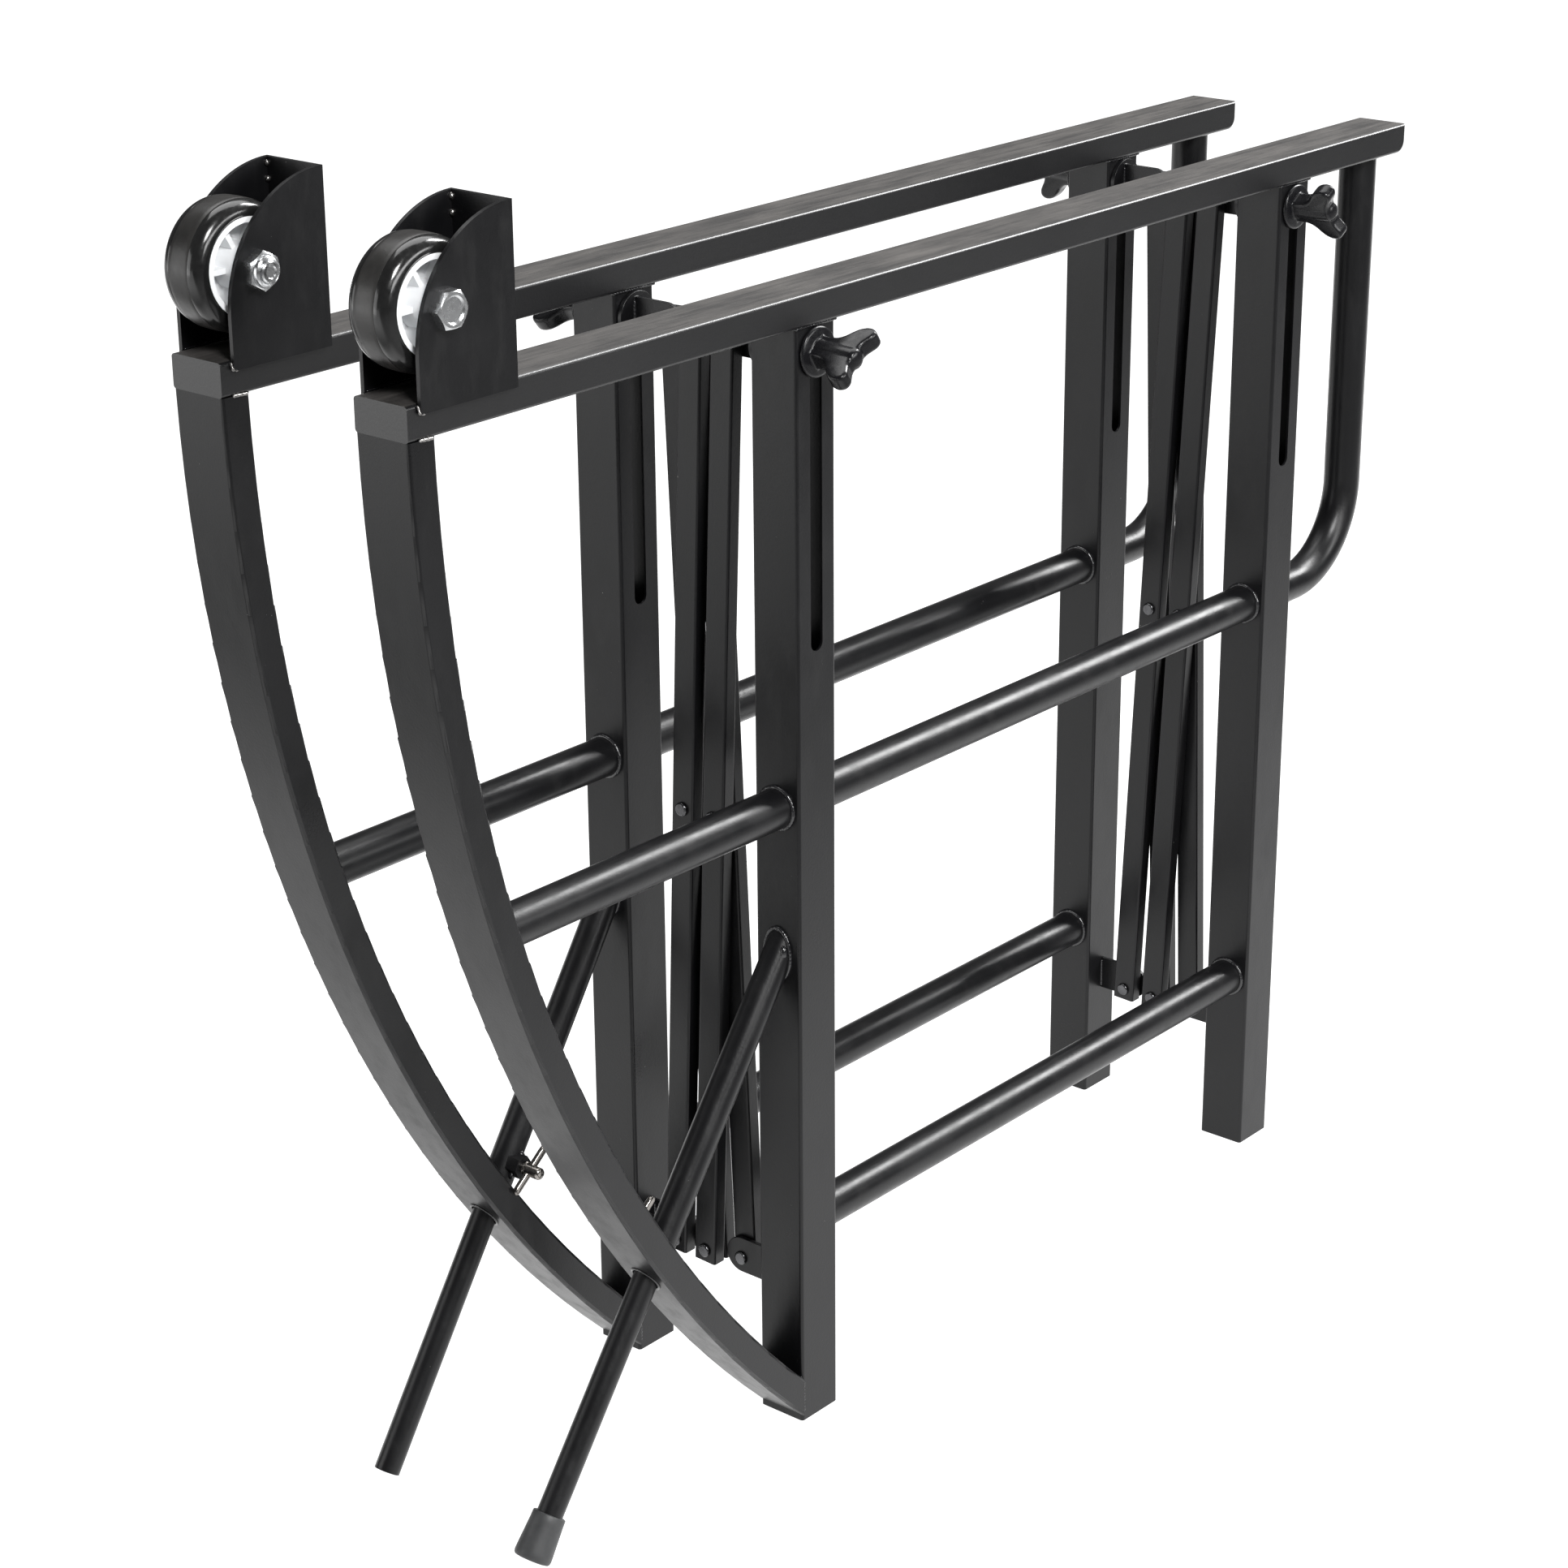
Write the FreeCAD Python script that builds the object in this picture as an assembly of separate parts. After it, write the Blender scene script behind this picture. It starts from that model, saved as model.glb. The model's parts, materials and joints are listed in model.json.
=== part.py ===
import FreeCAD, Part
import math
import os

# Folding two-sided carrying frame: two flat tube frames, joined by a double scissor at each of
# their two posts, with a wheel on the front end of each top rail and a sliding leg in each front
# foot. Millimetres. +X towards the handle end, +Z up, the near frame at -Y and the far frame at +Y.
# The origin is on the floor, at the middle of the whole folded object.

# ---- frames -------------------------------------------------------------------------------
FRAME_Y = 69.0          # middle plane of each frame, either side of the object's middle plane
WALL = 1.5              # wall of every tube
EDGE_R = 2.0            # rounded long edges of the square and rectangular tubes
POST = 34.0             # square posts
FRONT_POST_X = -151.8   # post centres
REAR_POST_X = 344.2
RAIL_FRONT_X = -470.8
RAIL_REAR_X = 479.2
RAIL_TOP = 720.0
FLAT_W = 38.0           # width, across the object, of the rail and the curved tube
FLAT_H = 19.0           # their other side
RAIL_NOSE_R = 8.0       # rounded lower corner of the rail's rear end
ARC_X = 519.2           # centre and outer radius of the curved tube
ARC_Z = 716.0
ARC_R = 990.0
MID_Z = 410.0           # middle tube and handle
MID_R = 12.5
HANDLE_X = 450.2
HANDLE_BEND = 62.0
LOW_Z = 128.5           # lower tube

# ---- scissors -----------------------------------------------------------------------------
PIVOT_Y = 24.5          # bracket and slider pivots, either side of the middle plane
LOW_PIVOT_Z = 89.0
HIGH_PIVOT_Z = 685.0
BAR_W = 17.0
BAR_D = 10.0
BAR_END = 8.0           # bar beyond its end pivots
LAYER_GAP = 0.8         # between the front and the back layer of bars
PIN_R = 3.0
PIN_HEAD_R = 4.5
PIN_HEAD_H = 2.0
RUN_FIT = 0.05          # radial clearance of a bar on its pin
OPEN_FIT = 0.1          # the same, where the closed loop of bars comes together
END_PLAY = 0.2          # between a bar and a pin's head
PLATE = 3.0             # bracket plates and slider ears
NOSE_R = 12.0
BRACKET_RISE = 2.0      # middle of a bracket plate above its pivot
SLOT_W = 10.5
SLOT_LOW_Z = 507.0
SLOT_HIGH_Z = 697.0
STUD_R = 4.9
FLANGE_R = 15.0
FLANGE_GAP = 0.3        # between a slider or a knob and the post
KNOB_NECK_R = 8.5
KNOB_FLANGE_H = 5.0
KNOB_REACH = 37.0       # knob, out from the post
KNOB_SPAN = 41.0
KNOB_WING_T = 7.0
KNOB_ANGLE = {"front_near": 34.0, "rear_near": 122.0, "front_far": 40.0, "rear_far": 98.0}

# ---- wheels -------------------------------------------------------------------------------
WHEEL_X = -443.8
WHEEL_Z = 765.3
WHEEL_R = 35.5
TYRE_W = 30.0
TYRE_SHOULDER_R = 7.0
RIM_R = 26.5
HUB_R = 13.0
HUB_W = 36.0
BUSH_R = 8.5
AXLE_R = 6.0
HEX_AF = 19.0
BOLT_HEAD_H = 6.5
BRACKET_T = 2.5
BRACKET_REAR_X = -394.2
BRACKET_R = 69.0
BRACKET_TOP = 812.0
BRACKET_LOW_Z = 715.0

# ---- legs ---------------------------------------------------------------------------------
LEG_TOP_Z = {"near": 316.5, "far": 322.5}    # where the leg's axis meets the post's front face
LEG_LEAN = {"near": 36.3, "far": 33.6}       # degrees from upright
SLEEVE_R = 9.5
LEG_R = 8.0
LEG_FIT = 0.1
LEG_HOLE_R = 8.6
LEG_START = 68.0        # top of the leg tube, along the axis
FOOT_R = 11.5
FOOT_LEN = 30.0
FOOT_SOLE = 4.0         # rubber under the tube's end
SCREW_AT = {"near": 179.0, "far": 180.0}     # thumb screw, along the leg's axis
SCREW_R = 3.9
SCREW_TIP = 8.1         # distances from the leg's axis
SCREW_HEAD = 31.0
NUT_AF = 13.0
NUT_TOP = 16.0
BAR_AT = 21.4
THUMB_BAR_L = 36.0
THUMB_BAR_W = 5.0
THUMB_BAR_T = 3.6
THUMB_BAR_ANGLE = 38.0

NEAR = -1
FAR = 1
POST_FRONT_FACE = FRONT_POST_X - POST / 2
REACH = 2000.0


def vec(x, y, z):
    return FreeCAD.Vector(x, y, z)


def box(x0, x1, y0, y1, z0, z1):
    return Part.makeBox(x1 - x0, y1 - y0, z1 - z0, vec(x0, y0, z0))


def rod(start, end, radius):
    run = end.sub(start)
    return Part.makeCylinder(radius, run.Length, start, run)


def pipe(start, end, radius, wall):
    return rod(start, end, radius).cut(rod(start, end, radius - wall))


def prism(points, run):
    wire = Part.makePolygon(points + [points[0]])
    return Part.Face(wire).extrude(run)


def hexagon(centre, across_flats, height):
    """Hexagonal prism that starts at centre and runs along Y by height."""
    radius = across_flats / math.sqrt(3.0)
    points = []
    for k in range(6):
        turn = math.radians(60 * k)
        points.append(centre.add(vec(radius * math.cos(turn), 0, radius * math.sin(turn))))
    return prism(points, vec(0, height, 0))


def round_edges(solid, radius, direction):
    """Round the straight edges that run along one axis."""
    edges = []
    for edge in solid.Edges:
        if isinstance(edge.Curve, Part.Line):
            if abs(edge.tangentAt(edge.FirstParameter).dot(direction)) > 0.999:
                edges.append(edge)
    return solid.makeFillet(radius, edges)


def mirrored(shape):
    return shape.mirror(vec(0, 0, 0), vec(0, 1, 0))


def arc_edge(radius, z_top, x_end):
    """Arc of the curved tube, from the rail down to the post."""
    a0 = math.atan2(z_top - ARC_Z, -math.sqrt(radius ** 2 - (z_top - ARC_Z) ** 2))
    if a0 < 0:
        a0 += 2 * math.pi
    a1 = math.pi + math.acos((ARC_X - x_end) / radius)
    points = []
    for angle in (a0, (a0 + a1) / 2, a1):
        points.append(vec(ARC_X + radius * math.cos(angle), 0, ARC_Z + radius * math.sin(angle)))
    return Part.Arc(*points).toShape()


def arc_band(r_out, r_in, z_top, x_end, y0, y1):
    outer = arc_edge(r_out, z_top, x_end)
    inner = arc_edge(r_in, z_top, x_end)
    top = Part.LineSegment(inner.Vertexes[0].Point, outer.Vertexes[0].Point).toShape()
    low = Part.LineSegment(outer.Vertexes[-1].Point, inner.Vertexes[-1].Point).toShape()
    wire = Part.Wire(Part.__sortEdges__([outer, low, inner, top]))
    band = Part.Face(wire).extrude(vec(0, y1 - y0, 0))
    band.translate(vec(0, y0, 0))
    return band


def leg_point(side, along):
    lean = math.radians(LEG_LEAN[side])
    x = POST_FRONT_FACE - along * math.sin(lean)
    return vec(x, -FRAME_Y, LEG_TOP_Z[side] - along * math.cos(lean))


# ---- pieces of one frame, made at -Y; side picks the lean of the leg -------------------------
def rail():
    y0 = -FRAME_Y - FLAT_W / 2
    y1 = -FRAME_Y + FLAT_W / 2
    z0 = RAIL_TOP - FLAT_H
    outer = box(RAIL_FRONT_X, RAIL_REAR_X, y0, y1, z0, RAIL_TOP)
    corner = []
    for edge in outer.Edges:
        middle = edge.CenterOfMass
        if abs(middle.x - RAIL_REAR_X) < 0.1 and abs(middle.z - z0) < 0.1:
            corner.append(edge)
    outer = outer.makeFillet(RAIL_NOSE_R, corner)
    outer = round_edges(outer, EDGE_R, vec(1, 0, 0))
    hollow = box(RAIL_FRONT_X + WALL, RAIL_REAR_X - RAIL_NOSE_R, y0 + WALL, y1 - WALL, z0 + WALL,
                 RAIL_TOP - WALL)
    return outer.cut(hollow)


def curved_tube(side):
    y0 = -FRAME_Y - FLAT_W / 2
    y1 = -FRAME_Y + FLAT_W / 2
    z_top = RAIL_TOP - FLAT_H
    r_in = ARC_R - FLAT_H
    outer = arc_band(ARC_R, r_in, z_top, POST_FRONT_FACE, y0, y1)
    long_edges = []
    for edge in outer.Edges:
        if edge.Length > FLAT_W * 4:
            long_edges.append(edge)
    outer = outer.makeFillet(EDGE_R, long_edges)
    hollow = arc_band(ARC_R - WALL, r_in + WALL, z_top + 2, POST_FRONT_FACE + 2, y0 + WALL, y1 - WALL)
    hole = rod(leg_point(side, LEG_START), leg_point(side, LEG_START + 300), LEG_HOLE_R)
    return outer.cut(hollow).cut(hole)


def post(centre_x):
    x0 = centre_x - POST / 2
    x1 = centre_x + POST / 2
    y0 = -FRAME_Y - POST / 2
    y1 = -FRAME_Y + POST / 2
    z1 = RAIL_TOP - FLAT_H
    outer = round_edges(box(x0, x1, y0, y1, 0, z1), EDGE_R, vec(0, 0, 1))
    hollow = box(x0 + WALL, x1 - WALL, y0 + WALL, y1 - WALL, WALL, z1 + 1)
    half = SLOT_W / 2
    low = SLOT_LOW_Z + half
    high = SLOT_HIGH_Z - half
    slot = box(centre_x - half, centre_x + half, y0 - 1, y1 + 1, low, high)
    for z in (low, high):
        slot = slot.fuse(rod(vec(centre_x, y0 - 1, z), vec(centre_x, y1 + 1, z), half))
    return outer.cut(hollow).cut(slot)


def inside_arc():
    """The space inside the curved tube's inner face, in front of the post."""
    disc = rod(vec(ARC_X, -FRAME_Y - 60, ARC_Z), vec(ARC_X, -FRAME_Y + 60, ARC_Z), ARC_R - FLAT_H)
    front = box(-REACH, POST_FRONT_FACE, -FRAME_Y - 60, -FRAME_Y + 60, 0, REACH)
    return disc.common(front)


def mid_tube():
    stub = pipe(vec(RAIL_FRONT_X, -FRAME_Y, MID_Z), vec(0, -FRAME_Y, MID_Z), MID_R, WALL)
    stub = stub.common(inside_arc())
    x0 = FRONT_POST_X + POST / 2
    x1 = REAR_POST_X - POST / 2
    between = pipe(vec(x0, -FRAME_Y, MID_Z), vec(x1, -FRAME_Y, MID_Z), MID_R, WALL)
    return Part.makeCompound([stub, between])


def lower_tube():
    x0 = FRONT_POST_X + POST / 2
    x1 = REAR_POST_X - POST / 2
    return pipe(vec(x0, -FRAME_Y, LOW_Z), vec(x1, -FRAME_Y, LOW_Z), MID_R, WALL)


def handle_tube():
    """Out from the rear post, round a bend and up to the rail's underside."""
    x0 = REAR_POST_X + POST / 2
    x1 = HANDLE_X - HANDLE_BEND
    top = RAIL_TOP - FLAT_H

    def swept(radius):
        along = rod(vec(x0, -FRAME_Y, MID_Z), vec(x1, -FRAME_Y, MID_Z), radius)
        disc = Part.Face(Part.Wire(Part.makeCircle(radius, vec(x1, -FRAME_Y, MID_Z), vec(1, 0, 0))))
        bend = disc.revolve(vec(x1, -FRAME_Y, MID_Z + HANDLE_BEND), vec(0, -1, 0), 90)
        up = rod(vec(HANDLE_X, -FRAME_Y, MID_Z + HANDLE_BEND), vec(HANDLE_X, -FRAME_Y, top), radius)
        return along.fuse(bend).fuse(up).removeSplitter()

    return swept(MID_R).cut(swept(MID_R - WALL))


def leg_sleeve(side):
    start = leg_point(side, -30)
    end = leg_point(side, 230)
    sleeve = pipe(start, end, SLEEVE_R, SLEEVE_R - LEG_R - LEG_FIT).common(inside_arc())
    at = leg_point(side, SCREW_AT[side])
    return sleeve.cut(rod(at, at.add(vec(0, SLEEVE_R * 2, 0)), SCREW_R + RUN_FIT))


def leg_nut(side):
    at = leg_point(side, SCREW_AT[side])
    nut = hexagon(at.add(vec(0, LEG_R / 2, 0)), NUT_AF, NUT_TOP - LEG_R / 2)
    nut = nut.cut(rod(leg_point(side, 0), leg_point(side, 230), SLEEVE_R))
    return nut.cut(rod(at, at.add(vec(0, NUT_TOP + 1, 0)), SCREW_R + RUN_FIT))


def wheel_bracket():
    y0 = -FRAME_Y - FLAT_W / 2
    y1 = -FRAME_Y + FLAT_W / 2
    front = BRACKET_REAR_X - BRACKET_R
    shoulder = BRACKET_TOP - BRACKET_R
    slant = BRACKET_R * math.sqrt(0.5)
    curve = Part.Arc(vec(front, 0, shoulder), vec(BRACKET_REAR_X - slant, 0, shoulder + slant),
                     vec(BRACKET_REAR_X, 0, BRACKET_TOP)).toShape()
    corners = [vec(BRACKET_REAR_X, 0, BRACKET_TOP), vec(BRACKET_REAR_X, 0, BRACKET_LOW_Z),
               vec(front, 0, BRACKET_LOW_Z), vec(front, 0, shoulder)]
    lines = Part.makePolygon(corners).Edges
    outline = Part.Face(Part.Wire([curve] + lines))
    solid = box(BRACKET_REAR_X - BRACKET_T, BRACKET_REAR_X, y0, y1, RAIL_TOP, BRACKET_TOP)
    for y in (y0 - BRACKET_T, y1):
        side = outline.extrude(vec(0, BRACKET_T, 0))
        side.translate(vec(0, y, 0))
        solid = solid.fuse(side)
    hole = rod(vec(WHEEL_X, y0 - 9, WHEEL_Z), vec(WHEEL_X, y1 + 9, WHEEL_Z), AXLE_R + RUN_FIT)
    return solid.removeSplitter().cut(hole)


def axle_bolt():
    y_head = -FRAME_Y - FLAT_W / 2 - BRACKET_T
    y_end = -FRAME_Y + FLAT_W / 2 + BRACKET_T + 12.0
    head = hexagon(vec(WHEEL_X, y_head - BOLT_HEAD_H, WHEEL_Z), HEX_AF, BOLT_HEAD_H)
    return head.fuse(rod(vec(WHEEL_X, y_head, WHEEL_Z), vec(WHEEL_X, y_end, WHEEL_Z), AXLE_R))


def axle_nut():
    y0 = -FRAME_Y + FLAT_W / 2 + BRACKET_T
    nut = hexagon(vec(WHEEL_X, y0, WHEEL_Z), HEX_AF, 7.0)
    collar = rod(vec(WHEEL_X, y0 + 7.0, WHEEL_Z), vec(WHEEL_X, y0 + 10.0, WHEEL_Z), HEX_AF / 2 - 0.7)
    return nut.fuse(collar).cut(rod(vec(WHEEL_X, y0 - 1, WHEEL_Z), vec(WHEEL_X, y0 + 11, WHEEL_Z), AXLE_R))


def axle_bush():
    half = FLAT_W / 2 - 0.1
    a = vec(WHEEL_X, -FRAME_Y - half, WHEEL_Z)
    b = vec(WHEEL_X, -FRAME_Y + half, WHEEL_Z)
    return rod(a, b, BUSH_R).cut(rod(a, b, AXLE_R + RUN_FIT))


def tyre():
    a = vec(WHEEL_X, -FRAME_Y - TYRE_W / 2, WHEEL_Z)
    b = vec(WHEEL_X, -FRAME_Y + TYRE_W / 2, WHEEL_Z)
    outer = rod(a, b, WHEEL_R)
    rims = []
    for edge in outer.Edges:
        if isinstance(edge.Curve, Part.Circle):
            rims.append(edge)
    return outer.makeFillet(TYRE_SHOULDER_R, rims).cut(rod(a, b, RIM_R))


def hub():
    """Rim, web and boss, with six ribs on each face."""
    def disc(radius, width):
        a = vec(WHEEL_X, -FRAME_Y - width / 2, WHEEL_Z)
        b = vec(WHEEL_X, -FRAME_Y + width / 2, WHEEL_Z)
        return rod(a, b, radius)

    rib_w = 3.0
    solid = disc(RIM_R, TYRE_W).cut(disc(RIM_R - 3.0, TYRE_W)).fuse(disc(RIM_R - 1.0, 5.0))
    solid = solid.fuse(disc(HUB_R, HUB_W))
    for k in range(6):
        rib = box(0, RIM_R - 1.5, -(TYRE_W / 2 - 3), TYRE_W / 2 - 3, -rib_w / 2, rib_w / 2)
        rib.rotate(vec(0, 0, 0), vec(0, 1, 0), 60 * k)
        rib.translate(vec(WHEEL_X, -FRAME_Y, WHEEL_Z))
        solid = solid.fuse(rib)
    return solid.removeSplitter().cut(disc(BUSH_R + RUN_FIT, HUB_W + 2))


def leg_end(side, radius):
    """Length along the leg's axis at which an end of this radius touches the floor."""
    lean = math.radians(LEG_LEAN[side])
    return (LEG_TOP_Z[side] - radius * math.sin(lean)) / math.cos(lean)


def leg_tube(side):
    """Tube that slides in the sleeve. The near one ends in the foot, the far one is bare."""
    if side == "near":
        end = leg_end(side, FOOT_R) - FOOT_SOLE
    else:
        end = leg_end(side, LEG_R)
    return pipe(leg_point(side, LEG_START), leg_point(side, end), LEG_R, WALL)


def leg_foot(side):
    end = leg_end(side, FOOT_R)
    low = leg_point(side, end)
    seat = leg_point(side, end - FOOT_SOLE)
    top = leg_point(side, end - FOOT_LEN)
    return rod(low, top, FOOT_R).cut(rod(seat, top, LEG_R))


def thumb_screw(side):
    at = leg_point(side, SCREW_AT[side])
    screw = rod(at.add(vec(0, SCREW_TIP, 0)), at.add(vec(0, SCREW_HEAD, 0)), SCREW_R)
    half = THUMB_BAR_L / 2 - THUMB_BAR_W / 2
    bar = box(-half, half, 0, THUMB_BAR_T, -THUMB_BAR_W / 2, THUMB_BAR_W / 2)
    for x in (-half, half):
        bar = bar.fuse(rod(vec(x, 0, 0), vec(x, THUMB_BAR_T, 0), THUMB_BAR_W / 2))
    bar.rotate(vec(0, 0, 0), vec(0, 1, 0), -THUMB_BAR_ANGLE)
    bar.translate(at.add(vec(0, BAR_AT - THUMB_BAR_T / 2, 0)))
    return screw.fuse(bar).removeSplitter()


# ---- scissor pieces, front station; the rear station is the same, moved back --------------------
BAR_SPAN = math.hypot(PIVOT_Y, HIGH_PIVOT_Z - LOW_PIVOT_Z)
FRONT_LAYER = FRONT_POST_X - LAYER_GAP / 2 - BAR_D    # front faces of the two layers
BACK_LAYER = FRONT_POST_X + LAYER_GAP / 2
PLATE_IN_FRONT = BACK_LAYER - 0.5 - PLATE             # plate in front of a back layer bar
PLATE_BEHIND = BACK_LAYER                             # plate behind a front layer bar


def bar(x_face, y_low, y_high, holes):
    """Rectangular tube from a low pivot to a high pivot; holes lists the pivots' clearances."""
    solid = box(x_face, x_face + BAR_D, -BAR_W / 2, BAR_W / 2, -BAR_END, BAR_SPAN + BAR_END)
    solid = round_edges(solid, WALL, vec(0, 0, 1))
    hollow = box(x_face + WALL, x_face + BAR_D - WALL, -BAR_W / 2 + WALL, BAR_W / 2 - WALL,
                 -BAR_END + WALL, BAR_SPAN + BAR_END - WALL)
    solid = solid.cut(hollow)
    for along, clearance in zip((0, BAR_SPAN / 2, BAR_SPAN), holes):
        hole = rod(vec(x_face - 1, 0, along), vec(x_face + BAR_D + 1, 0, along), PIN_R + clearance)
        solid = solid.cut(hole)
    lean = math.degrees(math.asin((y_low - y_high) / BAR_SPAN))
    solid.rotate(vec(0, 0, 0), vec(1, 0, 0), lean)
    solid.translate(vec(0, y_low, LOW_PIVOT_Z))
    return solid


def pin(x_front, x_back, y, z):
    """Pin with a domed head at each end, over a stack from x_front to x_back."""
    solid = rod(vec(x_front - END_PLAY, y, z), vec(x_back + END_PLAY, y, z), PIN_R)
    for x0, x1 in ((x_front - END_PLAY, x_front - END_PLAY - PIN_HEAD_H),
                   (x_back + END_PLAY, x_back + END_PLAY + PIN_HEAD_H)):
        head = rod(vec(x0, y, z), vec(x1, y, z), PIN_HEAD_R)
        rim = []
        for edge in head.Edges:
            if isinstance(edge.Curve, Part.Circle) and abs(edge.CenterOfMass.x - x1) < 0.01:
                rim.append(edge)
        solid = solid.fuse(head.makeFillet(PIN_HEAD_H * 0.7, rim))
    return solid


def full_pin(y, z):
    return pin(FRONT_LAYER, BACK_LAYER + BAR_D, y, z)


def ear(x0, root, y, z):
    """Plate from y = root to a pivot at y, z, with a round nose."""
    points = [vec(x0, root, z + NOSE_R), vec(x0, y, z + NOSE_R), vec(x0, y, z - NOSE_R),
              vec(x0, root, z - NOSE_R)]
    plate = prism(points, vec(PLATE, 0, 0))
    return plate.fuse(rod(vec(x0, y, z), vec(x0 + PLATE, y, z), NOSE_R)).removeSplitter()


def link_bracket(side):
    x0 = PLATE_IN_FRONT if side == NEAR else PLATE_BEHIND
    root = side * (FRAME_Y - POST / 2)
    y = side * PIVOT_Y
    plate = ear(x0, root, y, LOW_PIVOT_Z + BRACKET_RISE)
    return plate.cut(rod(vec(x0 - 1, y, LOW_PIVOT_Z), vec(x0 + PLATE + 1, y, LOW_PIVOT_Z), PIN_R))


def bracket_pin(side):
    if side == NEAR:
        return pin(PLATE_IN_FRONT + END_PLAY, BACK_LAYER + BAR_D, side * PIVOT_Y, LOW_PIVOT_Z)
    return pin(FRONT_LAYER, PLATE_BEHIND + PLATE - END_PLAY, side * PIVOT_Y, LOW_PIVOT_Z)


def slider(side):
    """Flange on the post's inner face, with the ear, its pin, and the stud through the slot."""
    inner = side * (FRAME_Y - POST / 2 - FLANGE_GAP)
    face = side * (FRAME_Y - POST / 2 - FLANGE_GAP - PLATE)
    solid = rod(vec(FRONT_POST_X, inner, HIGH_PIVOT_Z), vec(FRONT_POST_X, face, HIGH_PIVOT_Z), FLANGE_R)
    stud_end = side * (FRAME_Y + POST / 2 + KNOB_REACH * 0.45)
    solid = solid.fuse(rod(vec(FRONT_POST_X, face, HIGH_PIVOT_Z),
                           vec(FRONT_POST_X, stud_end, HIGH_PIVOT_Z), STUD_R))
    x0 = PLATE_BEHIND if side == NEAR else PLATE_IN_FRONT
    y = side * PIVOT_Y
    if side == NEAR:
        pivot = pin(FRONT_LAYER, PLATE_BEHIND + PLATE - END_PLAY, y, HIGH_PIVOT_Z)
    else:
        pivot = pin(PLATE_IN_FRONT + END_PLAY, BACK_LAYER + BAR_D, y, HIGH_PIVOT_Z)
    return solid.fuse(ear(x0, inner, y, HIGH_PIVOT_Z)).fuse(pivot).removeSplitter()


def knob(side, angle):
    """Wing knob: flange against the post, neck, and two flared wings."""
    base = FRAME_Y + POST / 2 + FLANGE_GAP
    reach = FRAME_Y + POST / 2 + KNOB_REACH
    neck_end = base + KNOB_REACH * 0.62
    solid = rod(vec(0, base, 0), vec(0, base + KNOB_FLANGE_H, 0), FLANGE_R)
    solid = solid.fuse(rod(vec(0, base, 0), vec(0, neck_end, 0), KNOB_NECK_R))
    half = KNOB_SPAN / 2
    wing_low = base + KNOB_FLANGE_H + 3.0
    for turn in (1, -1):
        points = [vec(0, wing_low, 0), vec(turn * KNOB_NECK_R, wing_low, 0),
                  vec(turn * half * 0.86, reach - 16.0, 0), vec(turn * half, reach - 8.0, 0),
                  vec(turn * half * 0.93, reach, 0), vec(turn * half * 0.62, reach, 0),
                  vec(0, neck_end - 1.0, 0)]
        wing = prism(points, vec(0, 0, KNOB_WING_T))
        wing.translate(vec(0, 0, -KNOB_WING_T / 2))
        solid = solid.fuse(wing)
    bore_end = FRAME_Y + POST / 2 + KNOB_REACH * 0.45 + 0.5
    solid = solid.removeSplitter().cut(rod(vec(0, base - 1, 0), vec(0, bore_end, 0), STUD_R + RUN_FIT))
    solid.rotate(vec(0, 0, 0), vec(0, 1, 0), -angle)
    if side == NEAR:
        solid = mirrored(solid)
    solid.translate(vec(FRONT_POST_X, 0, HIGH_PIVOT_Z))
    return solid


# ---- the whole object ---------------------------------------------------------------------
def frame_nodes():
    same = {
        "rail": rail(),
        "front_post": post(FRONT_POST_X),
        "rear_post": post(REAR_POST_X),
        "mid_tube": mid_tube(),
        "handle_tube": handle_tube(),
        "lower_tube": lower_tube(),
        "wheel_bracket": wheel_bracket(),
        "axle_bolt": axle_bolt(),
        "axle_nut": axle_nut(),
        "axle_bush": axle_bush(),
        "tyre": tyre(),
        "hub": hub(),
    }
    nodes = {}
    for side in ("near", "far"):
        pieces = dict(same)
        pieces["curved_tube"] = curved_tube(side)
        pieces["leg_sleeve"] = leg_sleeve(side)
        pieces["leg_nut"] = leg_nut(side)
        pieces["leg_tube"] = leg_tube(side)
        pieces["thumb_screw"] = thumb_screw(side)
        for name, shape in pieces.items():
            nodes[side + "_" + name] = shape if side == "near" else mirrored(shape)
    nodes["near_leg_foot"] = leg_foot("near")
    return nodes


def moved_back(shape):
    back = shape.copy()
    back.translate(vec(REAR_POST_X - FRONT_POST_X, 0, 0))
    return back


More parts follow.
